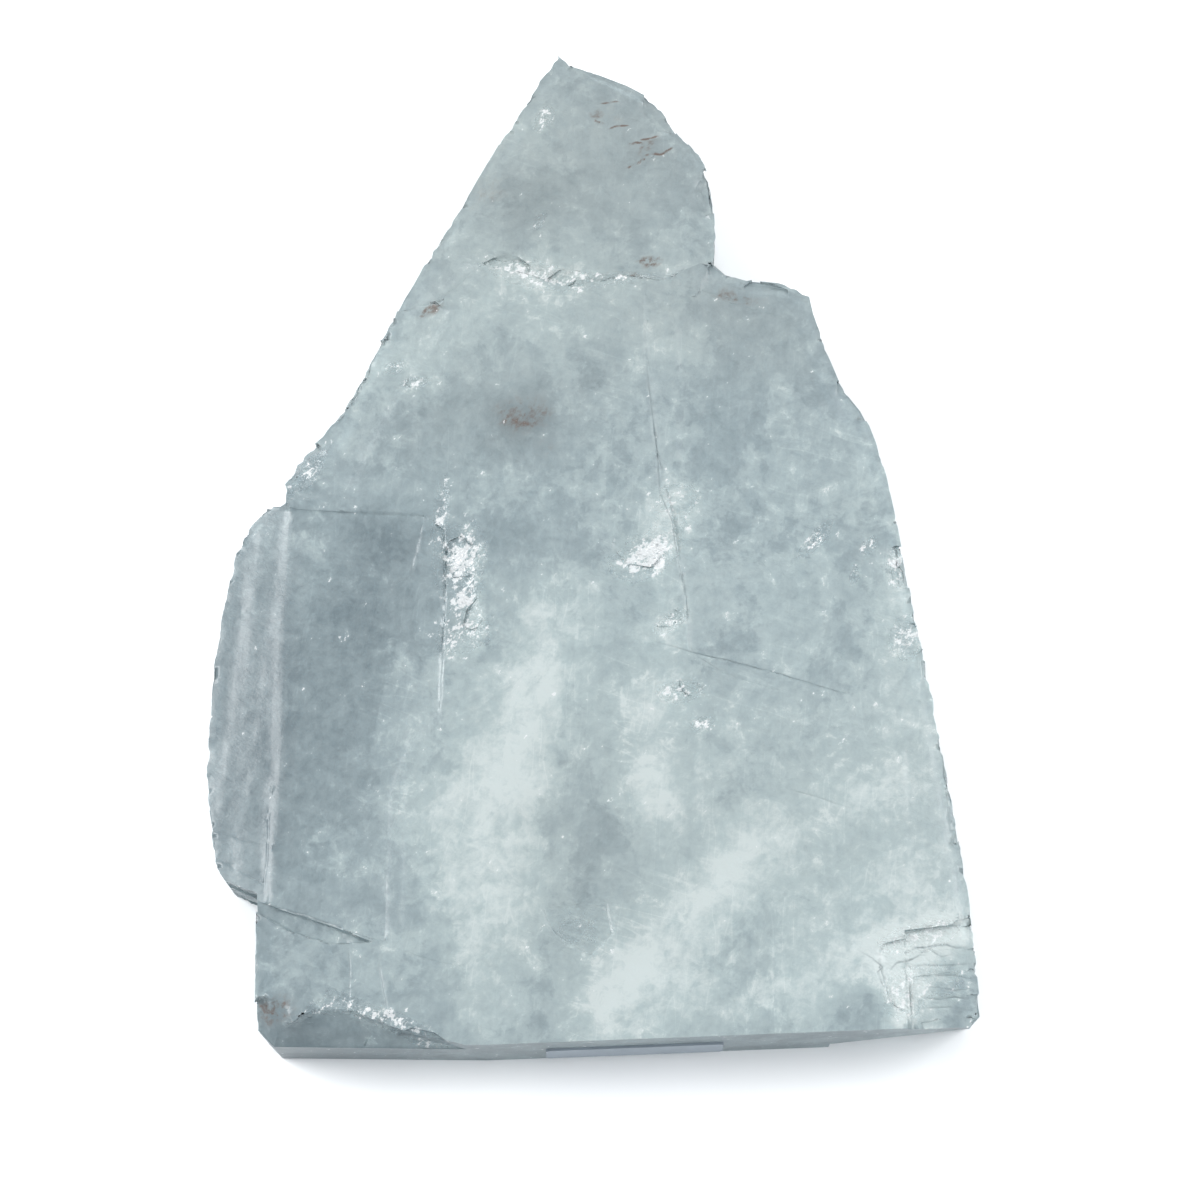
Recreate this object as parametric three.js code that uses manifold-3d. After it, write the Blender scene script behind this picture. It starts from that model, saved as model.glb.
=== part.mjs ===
// A selenite slab: one cleavage plate of clear gypsum that lies on its broad underside,
// with a blank paper label on the straight cut edge at its front.
// Millimetres, +Z up. The origin is under the middle of the slab, on the surface it lies on.

import * as THREE from 'three';
import { mergeVertices } from 'three/addons/utils/BufferGeometryUtils.js';
import Module from 'manifold-3d';

const wasm = await Module();
wasm.setup();

// Driving dimensions
const LENGTH = 236;
const WIDTH = 166;
const THICKNESS = 24;
const SHOULDER_THICKNESS = 21;
const HEAD_THICKNESS = 17.6;
const TIP_THICKNESS = 14.2;

// How finely broken edges are drawn
const EDGE_STEP = 4.4;

// How far cutters reach past the stone: up and down in millimetres, outwards in percent
const CLEAR = 6;
const OUTSIDE = 5;

// Where the shoulder lies, in percent of the length
const SHOULDER = 74;

// The crystal parts along flat sheets. These are the heights where one sheet meets the next,
// in percent of the whole stack, before its top is cut to its slope.
const SHEET_HEIGHTS = [0, 10, 23, 41, 52, 63, 77, 88, 100];
const STACK_HEIGHT = THICKNESS + 1;
const SHEET_OVERLAP = 0.2;

// One sheet in the middle stands out furthest, and those from RIM_SHEET up hold the outline more
// closely than those below it. JAGGED is the share of the small jags in a broken edge.
const WIDEST_SHEET = 3;
const WIDEST_SHARE = 0.08;
const RIM_SHEET = 5;
const RIM_SHARE = 0.4;
const JAGGED = 0.16;

// The waves of a ragged edge: the length in millimetres over which each turns by one radian, how
// far it shifts from sheet to sheet, and its share of the whole
const WAVES = [
  { length: 12, shift: 2.1, share: 0.5 },
  { length: 3.7, shift: 4.7, share: 0.3 },
  { length: 1.4, shift: 1.3, share: 0.2 },
];

// Numbers far from whole ratios, which mix an index and a seed into a scatter
const SCATTER_STRIDE = 12.9898;
const SCATTER_SEED = 78.233;
const SCATTER_SPREAD = 43758.5453;

// The outline seen from above, run anticlockwise from the front left corner, in percent of
// width and length. A stretch is a smooth curve through its knots, and it starts where the one
// before it ends. ragged is how far the broken sheets step back along it, in millimetres.
const OUTLINE_START = [7.8, 1.7];
const OUTLINE = [
  { name: 'front corner', ragged: 0, knots: [[9.9, 0.2]] },
  { name: 'chipped front edge', ragged: 0, knots: [[36.6, 0]] },
  { name: 'cut front edge', ragged: 0, knots: [[98.6, 1.7]] },
  { name: 'right corner', ragged: 0, knots: [[100, 2.8]] },
  { name: 'right side', ragged: 1.3, knots: [[98.9, 13.7], [95.4, 31.4], [92.1, 46], [90.2, 54]] },
  {
    name: 'right flank', ragged: 1.5,
    knots: [[87.6, 60.1], [84.2, 63.8], [81.8, 68.9], [80.4, 72.5]],
  },
  { name: 'shoulder', ragged: 1.2, knots: [[77, 73.9], [70.1, 74.5], [67.1, 76.1]] },
  {
    name: 'head, right', ragged: 1.6,
    knots: [[67.7, 79.8], [66.6, 87], [62.4, 91.2], [60.2, 94.2], [58, 95.4]],
  },
  { name: 'brow', ragged: 1.2, knots: [[50.2, 98.2], [47.2, 99.2], [45.5, 100]] },
  { name: 'head, left', ragged: 0.9, knots: [[40.6, 94.1], [32.1, 82.9], [25.7, 74.6]] },
  {
    name: 'left flank', ragged: 1.8,
    knots: [[18.7, 63.8], [14.7, 59], [11.2, 56.4], [9.2, 54], [9.1, 51.4]],
  },
  { name: 'lobe, top', ragged: 1.1, knots: [[5.6, 50.4], [2.6, 46.6]] },
  { name: 'lobe, side', ragged: 1.3, knots: [[0.5, 36.8], [0, 25], [1.8, 16.4]] },
  { name: 'lobe, foot', ragged: 0.8, knots: [[3.4, 15], [7.3, 13.9]] },
  { name: 'left side', ragged: 0.9, knots: [[7.5, 6], OUTLINE_START] },
];

// Flat facets that the top is broken into. Each is an outline in percent, with how deep the
// facet lies under the sheet around it, and how much deeper it gets to the left and to the
// front, in millimetres over the facet.
const HEAD_LEDGE = [[20, 70.5], [29.7, 72.1], [33.7, 74.8], [36.2, 76.4], [39.9, 75.2], [44.5, 74.1],
  [48.1, 73.4], [54.3, 74.8], [59.8, 74.2], [65.3, 75.9], [72, 76]];
const FACETS = [
  {
    name: 'clear panel', depth: 0.7, left: 0.3, front: 0,
    knots: [[-4, 51.2], [18.1, 50.3], [28.1, 50], [30.6, 48.5], [31, 43.7], [30.4, 30.5], [26, 26.9],
      [24.1, 22.4], [24.2, 9.1], [18.7, 10.4], [10.4, 12.3], [5, 13.4], [-4, 13.8]],
  },
  {
    name: 'lobe slope', depth: 1.4, left: 3.6, front: 0,
    knots: [[-4, 53], [9.6, 53], [9, 38], [9.4, 24], [8.8, 12.5], [-4, 12.5]],
  },
  {
    name: 'wedge', depth: 1.9, left: 0, front: 0.9,
    knots: [[6, 13.6], [10.4, 12.3], [18.7, 10.4], [22.4, 9.2], [17, 9.1], [12.1, 10.2], [6, 12.6]],
  },
  {
    name: 'right plate', depth: 0.6, left: 0.2, front: 0,
    knots: [[104, 74], [68, 77], [64.6, 72.3], [57.7, 70], [58.1, 65.7], [59.2, 56.5], [61.4, 49.3],
      [63, 41.7], [63.4, 36.6], [74.2, 34.6], [83.6, 32.5], [104, 31.6]],
  },
  {
    name: 'shattered corner', depth: 1.1, left: 0, front: -0.5,
    knots: [[104, 12.4], [96.6, 10.9], [92.4, 9.9], [87.5, 9.1], [87, 7.5], [88.4, 3.8], [91.5, 2.4],
      [96, -2], [104, -2]],
  },
  {
    name: 'flake scar', depth: 0.5, left: 0.3, front: 0,
    knots: [[44.1, 12.4], [45.8, 10], [50.3, 8], [53.1, 10], [52.3, 12.7], [49, 12.7]],
  },
  {
    name: 'left margin', depth: 0.8, left: 1, front: 0,
    knots: [[20, 74], [2, 54], [9, 51.4], [17.5, 52.5], [22.5, 60], [31, 71]],
  },
  {
    name: 'right margin', depth: 0.9, left: -0.6, front: 0,
    knots: [[106, 2], [106, 50], [90, 62], [87.7, 58.2], [90.2, 47], [94, 31], [97.4, 13], [98.2, 2]],
  },
];

// Fine steps across the shattered corner. The left end of the first step's edge is at STEP_LEFT, and
// each of the others is STEP_SHIFT further right. The edges bend at STEP_BEND, which lies STEP_RISE
// further back. Places and shifts are in percent, the drop from step to step is in millimetres.
const STEP_COUNT = 5;
const STEP_DROP = 0.22;
const STEP_LEFT = 90.5;
const STEP_SHIFT = 0.5;
const STEP_BEND = 97;
const STEP_RISE = 0.5;

// The bevel where the front rim is chipped away: its back line in percent, and how far the rim
// drops at the front
const CHIPPED_RIM = [[4, 3.4], [12.3, 1.9], [15.3, 3.2], [21.2, 2.6], [26.7, 1.3], [37, -0.4]];
const CHIPPED_END = 38;
const CHIPPED_DROP = 7;
const CHIPPED_REACH = 3.2;

// The foot of the cut edge leans back towards the right corner, from the first of these places,
// in percent, to the second. LEAN is how steeply its facet rises to the front.
const LEANING_FOOT = [[81.5, 1.5], [104, 3.2]];
const LEAN = 8;

// Chips that have sprung off: place in percent, length and breadth in millimetres, the way the
// floor dips in degrees from the right, and how deep it gets there
const CHIPS = [
  { u: 33, v: 45.8, long: 11, broad: 7, dips: 200, depth: 1.4 },
  { u: 34.9, v: 39.9, long: 8, broad: 4.5, dips: 160, depth: 1 },
  { u: 56.6, v: 46.6, long: 12, broad: 7, dips: 250, depth: 1.2 },
  { u: 60.2, v: 39.8, long: 7, broad: 4, dips: 300, depth: 0.9 },
  { u: 63.6, v: 33, long: 7, broad: 4, dips: 240, depth: 0.9 },
  { u: 79.8, v: 47.6, long: 9, broad: 4, dips: 30, depth: 1 },
  { u: 91.4, v: 45, long: 11, broad: 8, dips: 10, depth: 2.6 },
  { u: 92.8, v: 37.6, long: 8, broad: 7, dips: 350, depth: 2 },
  { u: 22.2, v: 66.2, long: 12, broad: 7, dips: 150, depth: 2 },
  { u: 27.6, v: 63.7, long: 8, broad: 4, dips: 100, depth: 1 },
  { u: 38.6, v: 76.2, long: 10, broad: 6, dips: 80, depth: 1.8 },
  { u: 46.2, v: 75, long: 9, broad: 5, dips: 120, depth: 1.6 },
  { u: 9.6, v: 1.8, long: 13, broad: 9, dips: 220, depth: 9 },
  { u: 18, v: 1.2, long: 16, broad: 9, dips: 280, depth: 8 },
  { u: 28.5, v: 0.4, long: 13, broad: 6, dips: 265, depth: 5 },
  { u: 66.8, v: 84, long: 11, broad: 7, dips: 5, depth: 3.2 },
  { u: 60.4, v: 93.4, long: 12, broad: 7, dips: 40, depth: 4 },
  { u: 2, v: 44.2, long: 12, broad: 7, dips: 160, depth: 4 },
  { u: 1, v: 20, long: 14, broad: 6, dips: 190, depth: 4 },
  { u: 86, v: 61.6, long: 14, broad: 7, dips: 35, depth: 4 },
  { u: 11.6, v: 55.6, long: 11, broad: 7, dips: 130, depth: 5 },
  { u: 74.6, v: 73.2, long: 12, broad: 5, dips: 80, depth: 2 },
  { u: 97.6, v: 21, long: 13, broad: 5, dips: 0, depth: 3.2 },
];
const CHIP_CORNERS = 7;
const CHIP_SCATTER = 0.22;

// Pits in the underside, which stays flat between them
const UNDERSIDE_PITS = [
  { u: 14, v: 24, long: 22, broad: 13, dips: 170, depth: 1.4 },
  { u: 84, v: 58, long: 26, broad: 15, dips: 20, depth: 1.6 },
  { u: 50, v: 92, long: 20, broad: 12, dips: 60, depth: 1.2 },
  { u: 70, v: 5, long: 30, broad: 9, dips: 270, depth: 1.3 },
];

// The label: a strip of paper along the cut edge
const LABEL_LENGTH = 38;
const LABEL_HEIGHT = 11;
const LABEL_THICKNESS = 0.25;
const LABEL_GAP = 0.3;
const LABEL_LOW = 3.4;
const LABEL_CENTRE = 56;

// A place in percent of width and length, as millimetres from the middle
function place([u, v]) {
  return new THREE.Vector2((u / 100 - 0.5) * WIDTH, (v / 100 - 0.5) * LENGTH);
}

// How far back a place lies, in percent of the length
function percentBack(y) {
  return (y / LENGTH + 0.5) * 100;
}

// A closed BufferGeometry as a solid that can be joined and cut
function solid(geometry) {
  geometry.deleteAttribute('normal');
  geometry.deleteAttribute('uv');
  const merged = mergeVertices(geometry);
  return new wasm.Manifold(new wasm.Mesh({
    numProp: 3,
    vertProperties: new Float32Array(merged.attributes.position.array),
    triVerts: new Uint32Array(merged.index.array),
  }));
}

function toGeometry(manifold) {
  const mesh = manifold.getMesh();
  const geometry = new THREE.BufferGeometry();
  geometry.setAttribute('position', new THREE.BufferAttribute(mesh.vertProperties, 3));
  geometry.setIndex(new THREE.BufferAttribute(mesh.triVerts, 1));
  geometry.computeVertexNormals();
  return geometry;
}

// A repeatable scatter between -1 and 1 for whole numbers
function scatter(index, seed) {
  const mixed = Math.sin(index * SCATTER_STRIDE + seed * SCATTER_SEED) * SCATTER_SPREAD;
  return 2 * (mixed - Math.floor(mixed)) - 1;
}

// A smooth, repeatable wobble between -1 and 1 along a length in millimetres
function wobble(along, seed) {
  const waves = WAVES.map(({ length, shift, share }) => share * Math.sin(along / length + seed * shift));
  return waves.reduce((sum, wave) => sum + wave, 0);
}

// The outline as points with the raggedness of their stretch
function outlinePoints() {
  const points = [];
  let start = OUTLINE_START;
  for (const stretch of OUTLINE) {
    const curve = new THREE.SplineCurve([start, ...stretch.knots].map(place));
    const segments = stretch.ragged > 0 ? Math.round(curve.getLength() / EDGE_STEP) : 1;
    for (const point of curve.getSpacedPoints(segments).slice(0, -1)) {
      points.push({ point, ragged: stretch.ragged });
    }
    start = stretch.knots[stretch.knots.length - 1];
  }
  return points;
}

// Each point moved to the inside of a closed anticlockwise outline by its own distance
function moveInside(points, distances) {
  const count = points.length;
  return points.map((point, i) => {
    const before = points[(i + count - 1) % count];
    const after = points[(i + 1) % count];
    const along = after.clone().sub(before).normalize();
    return new THREE.Vector2(-along.y, along.x).multiplyScalar(distances[i]).add(point);
  });
}

// A prism over an outline, whose floor and roof are given as heights at each place
function prism(points, floorAt, roofAt) {
  const geometry = new THREE.ExtrudeGeometry(new THREE.Shape(points), { depth: 1, bevelEnabled: false });
  const position = geometry.attributes.position;
  for (let i = 0; i < position.count; i += 1) {
    const heightAt = position.getZ(i) > 0.5 ? roofAt : floorAt;
    position.setZ(i, heightAt(position.getX(i), position.getY(i)));
  }
  return solid(geometry);
}

// One sheet of the crystal: its rim steps back where the sheet has broken away
function sheet(rim, index) {
  const upperShare = index >= RIM_SHEET ? RIM_SHARE : 1;
  const share = index === WIDEST_SHEET ? WIDEST_SHARE : upperShare;
  const distances = rim.map(({ ragged }, i) => {
    const back = Math.max(0, wobble(i * EDGE_STEP, index)) + JAGGED * (1 + scatter(i, index));
    return share * ragged * back;
  });
  const low = SHEET_HEIGHTS[index] / 100 * STACK_HEIGHT;
  const high = SHEET_HEIGHTS[index + 1] / 100 * STACK_HEIGHT;
  const overlap = index > 0 ? SHEET_OVERLAP : 0;
  const points = moveInside(rim.map(({ point }) => point), distances);
  return prism(points, () => low - overlap, () => high);
}

// The height of the body's top, which thins from the front edge to the shoulder
function bodyTop(x, y) {
  return THREE.MathUtils.lerp(THICKNESS, SHOULDER_THICKNESS, percentBack(y) / SHOULDER);
}

// The height of the head's top, which thins from the shoulder to the tip
function headTop(x, y) {
  const fromShoulder = (percentBack(y) - SHOULDER) / (100 - SHOULDER);
  return THREE.MathUtils.lerp(HEAD_THICKNESS, TIP_THICKNESS, fromShoulder);
}

const ABOVE = () => THICKNESS + CLEAR;

// What is cut away over the whole body, so that its top is one slope
function overBody() {
  const [low, high] = [-OUTSIDE, 100 + OUTSIDE];
  const corners = [[low, low], [high, low], [high, high], [low, high]].map(place);
  return prism(corners, bodyTop, ABOVE);
}

// What is cut away over the head, down to its lower, steeper top
function overHead() {
  const [left, right] = [HEAD_LEDGE[0][0], HEAD_LEDGE[HEAD_LEDGE.length - 1][0]];
  const corners = [...HEAD_LEDGE, [right, 100 + OUTSIDE], [left, 100 + OUTSIDE]].map(place);
  return prism(corners, headTop, ABOVE);
}

// What is cut away over one facet
function overFacet({ knots, depth, left, front }) {
  const corners = knots.map(place);
  const box = new THREE.Box2().setFromPoints(corners);
  const size = box.getSize(new THREE.Vector2());
  const floorAt = (x, y) => bodyTop(x, y) - depth
    - left * (box.max.x - x) / size.x
    - front * (box.max.y - y) / size.y;
  return prism(corners, floorAt, ABOVE);
}

// The fine steps that run across the shattered corner
function overSteps() {
  const { knots, depth } = FACETS.find(({ name }) => name === 'shattered corner');
  const back = knots[0][1];
  const cutters = [];
  const right = 100 + OUTSIDE;
  for (let i = 1; i <= STEP_COUNT; i += 1) {
    const edge = back * (1 - i / (STEP_COUNT + 1));
    const left = STEP_LEFT + (i - 1) * STEP_SHIFT;
    const corners = [[left, edge], [STEP_BEND, edge + STEP_RISE], [right, edge], [right, -OUTSIDE],
      [left, -OUTSIDE]];
    const floorAt = (x, y) => bodyTop(x, y) - depth - i * STEP_DROP;
    cutters.push(prism(corners.map(place), floorAt, ABOVE));
  }
  return cutters;
}

// The bevel along the chipped part of the front rim
function overChippedRim() {
  const corners = [[CHIPPED_RIM[0][0], -OUTSIDE], ...CHIPPED_RIM, [CHIPPED_END, -OUTSIDE]].map(place);
  const floorAt = (x, y) => THICKNESS - CHIPPED_DROP * (1 - percentBack(y) / CHIPPED_REACH);
  return prism(corners, floorAt, ABOVE);
}

// What is cut away under the leaning foot
function underLeaningFoot() {
  const [from, to] = LEANING_FOOT.map(place);
  const along = to.clone().sub(from).normalize();
  const outwards = new THREE.Vector2(along.y, -along.x);
  const corners = LEANING_FOOT.map(([u]) => place([u, -OUTSIDE]));
  const risen = (x, y) => LEAN * new THREE.Vector2(x, y).sub(from).dot(outwards);
  return prism([from, ...corners, to], () => -CLEAR, risen);
}

// A chip: a ragged patch whose floor dips from the surface to its depth, on the top where side
// is 1 and on the underside where it is -1
function chip({ u, v, long, broad, dips, depth }, index, surfaceAt, side) {
  const centre = place([u, v]);
  const turn = THREE.MathUtils.degToRad(dips + 90);
  const corners = [];
  for (let i = 0; i < CHIP_CORNERS; i += 1) {
    const angle = (i / CHIP_CORNERS) * 2 * Math.PI;
    const reach = 1 + CHIP_SCATTER * scatter(i, index + 1);
    const corner = new THREE.Vector2(Math.cos(angle) * long / 2, Math.sin(angle) * broad / 2);
    corners.push(corner.multiplyScalar(reach).rotateAround(new THREE.Vector2(), turn).add(centre));
  }
  const dip = new THREE.Vector2(0, 1).rotateAround(new THREE.Vector2(), turn).negate();
  const dipped = (x, y) => {
    const across = new THREE.Vector2(x, y).sub(centre).dot(dip) / broad + 0.5;
    return surfaceAt(x, y) - side * depth * across;
  };
  return side > 0 ? prism(corners, dipped, ABOVE) : prism(corners, () => -CLEAR, dipped);
}

function chips() {
  const onTop = CHIPS.map((one, index) => chip(one, index, one.v > SHOULDER ? headTop : bodyTop, 1));
  const below = UNDERSIDE_PITS.map((one, index) => chip(one, index, () => 0, -1));
  return [...onTop, ...below];
}

function slabSolid() {
  const rim = outlinePoints();
  let stone = sheet(rim, 0);
  for (let index = 1; index < SHEET_HEIGHTS.length - 1; index += 1) {
    stone = stone.add(sheet(rim, index));
  }
  const cutters = [overBody(), overHead(), ...FACETS.map(overFacet), ...overSteps(), overChippedRim(),
    underLeaningFoot(), ...chips()];
  for (const cutter of cutters) {
    stone = stone.subtract(cutter);
  }
  return stone;
}

function buildSlab() {
  const material = new THREE.MeshStandardMaterial({
    color: 0xafbdc1, roughness: 0.22, metalness: 0, transparent: true, opacity: 0.75, flatShading: true,
  });
  const mesh = new THREE.Mesh(toGeometry(slabSolid()), material);
  mesh.name = 'selenite_slab';
  return mesh;
}

// The label lies along the cut front edge, which runs from one end of its stretch to the other
function buildLabel() {
  const cut = OUTLINE.findIndex(({ name }) => name === 'cut front edge');
  const from = place(OUTLINE[cut - 1].knots[0]);
  const to = place(OUTLINE[cut].knots[0]);
  const along = to.clone().sub(from);
  const share = (place([LABEL_CENTRE, 0]).x - from.x) / along.x;
  const outwards = new THREE.Vector2(along.y, -along.x).normalize();
  const centre = from.clone().addScaledVector(along, share)
    .addScaledVector(outwards, LABEL_GAP + LABEL_THICKNESS / 2);
  const material = new THREE.MeshStandardMaterial({ color: 0xc3ccd1, roughness: 0.7, metalness: 0 });
  const mesh = new THREE.Mesh(new THREE.BoxGeometry(LABEL_LENGTH, LABEL_THICKNESS, LABEL_HEIGHT), material);
  mesh.name = 'edge_label';
  mesh.position.set(centre.x, centre.y, LABEL_LOW + LABEL_HEIGHT / 2);
  mesh.rotation.z = along.angle();
  return mesh;
}

const model = new THREE.Group();
model.add(buildSlab(), buildLabel());

// The origin goes under the middle of the whole, at the height of the underside
const reach = new THREE.Box3().setFromObject(model);
const middle = reach.getCenter(new THREE.Vector3());
model.position.set(-middle.x, -middle.y, -reach.min.z);

export default model;
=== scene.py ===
"""Looks of a clouded clear selenite slab, lying on its underside, with a blank paper label on its cut edge."""

import logging
import math
from collections import Counter
from dataclasses import dataclass
from enum import Enum
from typing import Any, Callable, Iterable, Sequence

import bmesh
import bpy
import numpy as np
from mathutils import Matrix, Vector, noise
from mathutils.bvhtree import BVHTree


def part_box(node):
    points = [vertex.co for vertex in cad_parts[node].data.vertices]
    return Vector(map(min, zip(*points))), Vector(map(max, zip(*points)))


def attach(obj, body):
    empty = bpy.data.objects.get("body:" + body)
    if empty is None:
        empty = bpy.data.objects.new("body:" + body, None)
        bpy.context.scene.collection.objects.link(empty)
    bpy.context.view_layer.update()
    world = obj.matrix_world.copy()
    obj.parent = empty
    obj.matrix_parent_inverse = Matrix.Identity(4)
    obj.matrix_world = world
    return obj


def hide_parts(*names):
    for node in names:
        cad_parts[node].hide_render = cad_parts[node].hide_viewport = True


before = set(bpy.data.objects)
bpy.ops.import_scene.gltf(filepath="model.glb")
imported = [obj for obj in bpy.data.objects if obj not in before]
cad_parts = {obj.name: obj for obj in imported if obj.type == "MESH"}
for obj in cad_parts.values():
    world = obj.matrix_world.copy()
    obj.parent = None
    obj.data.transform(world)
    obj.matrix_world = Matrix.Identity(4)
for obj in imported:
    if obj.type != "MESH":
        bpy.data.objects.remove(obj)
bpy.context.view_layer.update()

STONE_NODE = "selenite_slab"
LABEL_NODE = "edge_label"
BODY = "root"
MM = 0.001

log = logging.getLogger("selenite")


class Side(Enum):
    """Which face of the slab a point of its surface belongs to."""

    TOP = 0
    WALL = 1
    UNDERSIDE = 2


class Mark(Enum):
    """Named measures that the stone's surface carries from point to point."""

    TONE = "tone"
    STAIN = "stain"
    WARMTH = "warmth"
    # Crushed places: shards in the relief, and painted near white, partly as painted glints
    CRUSH = "crush"
    CRACK = "crack"
    # Painted highlight lines along ledges
    PAINTED_GLEAM = "painted_gleam"
    # Walls: the material darkens them as painted shade
    WALL = "wall"


@dataclass(frozen=True)
class Patch:
    """A soft-edged oval on the top, placed in percent of the slab's width and length.

    long and broad are its radii in millimetres, turn is the angle of its long axis from the right in
    degrees, and strength is what it adds at its middle.
    """

    u: float
    v: float
    long: float
    broad: float
    turn: float = 0.0
    strength: float = 1.0


@dataclass(frozen=True)
class Score:
    """A crack, ledge line or seam on the top: its points in percent, half its width and its depth in millimetres.

    crack says how dark it is, gleam how light it is by a painted highlight, and stain how brown it is.
    """

    points: tuple[tuple[float, float], ...]
    half_width: float = 0.28
    depth: float = 0.14
    crack: float = 1.0
    painted_gleam: float = 0.0
    stain: float = 0.0


# Clouds and veils inside the stone, which show lighter than the clear crystal; those round the glittering chips near
# the middle also add painted glint light
CLOUDS_AND_GLINT_LIGHT = (
    Patch(41, 75.5, 10, 4, -12, 0.8), Patch(43.5, 92.5, 6, 4, 40, 0.7), Patch(33, 45.5, 6, 4, 80, 0.6),
    Patch(34.5, 39.5, 8, 3, 80, 0.6), Patch(58, 46.5, 8, 5, 40, 0.9), Patch(62, 51.5, 7, 6, 30, 0.7),
    Patch(61, 39.5, 5, 4, 0, 0.6), Patch(45.5, 38, 15, 6, 85, 0.6), Patch(41.5, 29, 18, 8, 84, 0.8),
    Patch(37.5, 16, 28, 11, 88, 0.95), Patch(59.5, 33, 9, 6, 60, 0.7), Patch(58.5, 24, 8, 7, 90, 1.0),
    Patch(69.5, 16, 12, 5.5, 32, 1.0), Patch(56, 5.5, 12, 7, 38, 1.2), Patch(64.5, 13, 8, 4, 38, 0.5),
    Patch(77, 6, 16, 6, 8, 0.6), Patch(88.5, 23.5, 9, 5, -10, 0.7), Patch(91, 13, 13, 10, 60, 0.6),
    Patch(91, 5, 5, 7, 0, 0.7), Patch(91.5, 32, 13, 5, 80, 0.4), Patch(91.5, 44.5, 11, 3.5, 80, 0.5),
    Patch(23, 67, 11, 8, 60, 0.35), Patch(38, 72, 20, 10, 20, 0.4), Patch(59, 67, 5, 5, 0, 0.4),
    Patch(89, 54.5, 9, 6, 80, 0.35), Patch(29.5, 22.5, 14, 6, 90, 0.4), Patch(77, 18, 44, 50, 0, 0.42),
    Patch(93, 9.7, 9, 2.8, 12, 1.3), Patch(90, 3.6, 3, 6, 0, 0.5), Patch(55, 60, 30, 40, 0, 0.12),
)

# Clear places, and places of painted shade such as the chipped front left corner, which show the darker blue grey
CLEAR_AND_PAINTED_SHADE = (
    Patch(23.5, 48, 8, 5, -10, 1.0), Patch(21.5, 41.5, 13, 11, 70, 0.72), Patch(18.5, 32, 15, 18, 0, 0.4),
    Patch(15, 22.5, 34, 13, 90, 0.25), Patch(41.5, 59.6, 8, 5.5, 25, 0.9), Patch(51, 64.5, 6, 5, 0, 0.6),
    Patch(41, 84, 7, 6, 0, 0.45), Patch(59, 89, 5, 4, 0, 0.4), Patch(24.5, 58.5, 7, 5, 60, 0.4),
    Patch(38, 47.5, 6, 5, 0, 0.4), Patch(49, 47, 9, 5, 0, 0.35), Patch(71, 50.5, 9, 8, 0, 0.3),
    Patch(51.5, 18.5, 14, 9, 90, 0.5), Patch(45, 7.5, 12, 5, 85, 0.35), Patch(68, 36, 8, 5, -20, 0.35),
    Patch(78, 32, 14, 8, -10, 0.2), Patch(85.5, 3.5, 5, 4, 0, 0.6), Patch(96.5, 4, 7, 6, 0, 0.3),
    Patch(13, 1, 14, 5, 0, 0.9), Patch(71.5, 72.4, 7, 4, 0, 0.4), Patch(35, 61.5, 11, 12, 0, 0.2),
    Patch(55, 88, 30, 22, 0, 0.2), Patch(72, 62, 26, 22, 0, 0.2), Patch(4, 31, 11, 36, 0, 0.9),
    Patch(9.3, 30, 42, 2.4, 90, 0.4),
)

# Iron stains, brown to grey brown
STAINS = (
    Patch(58.5, 76.9, 2.6, 1.2, -5, 1.2), Patch(55, 75.2, 2.2, 1.0, 8, 0.95), Patch(28.3, 71.2, 2.8, 1.5, 25, 0.9),
    Patch(41.4, 60.4, 5.6, 4.0, 20, 0.6), Patch(71, 72.6, 5.4, 1.9, -8, 0.6), Patch(10.2, 3.4, 3.4, 2.4, 0, 0.8),
    Patch(44, 56.5, 3, 2.5, 0, 0.3), Patch(58.2, 89.3, 3, 1.4, 30, 0.5), Patch(53.5, 93, 4, 2.4, 0, 0.25),
    Patch(58.9, 82.6, 0.9, 0.5, 0, 0.9), Patch(36, 84.5, 7, 4, 30, 0.3), Patch(50.5, 93.4, 1.2, 0.6, 20, 0.8),
)

# Places where the stone is a warmer grey
WARMTH = (
    Patch(46, 87, 42, 30, 20, 0.9), Patch(38, 62, 26, 14, 10, 0.5), Patch(68, 70, 26, 12, -10, 0.5),
    Patch(45, 20, 40, 22, 85, 0.45), Patch(76, 20, 40, 24, 20, 0.4),
)

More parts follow.
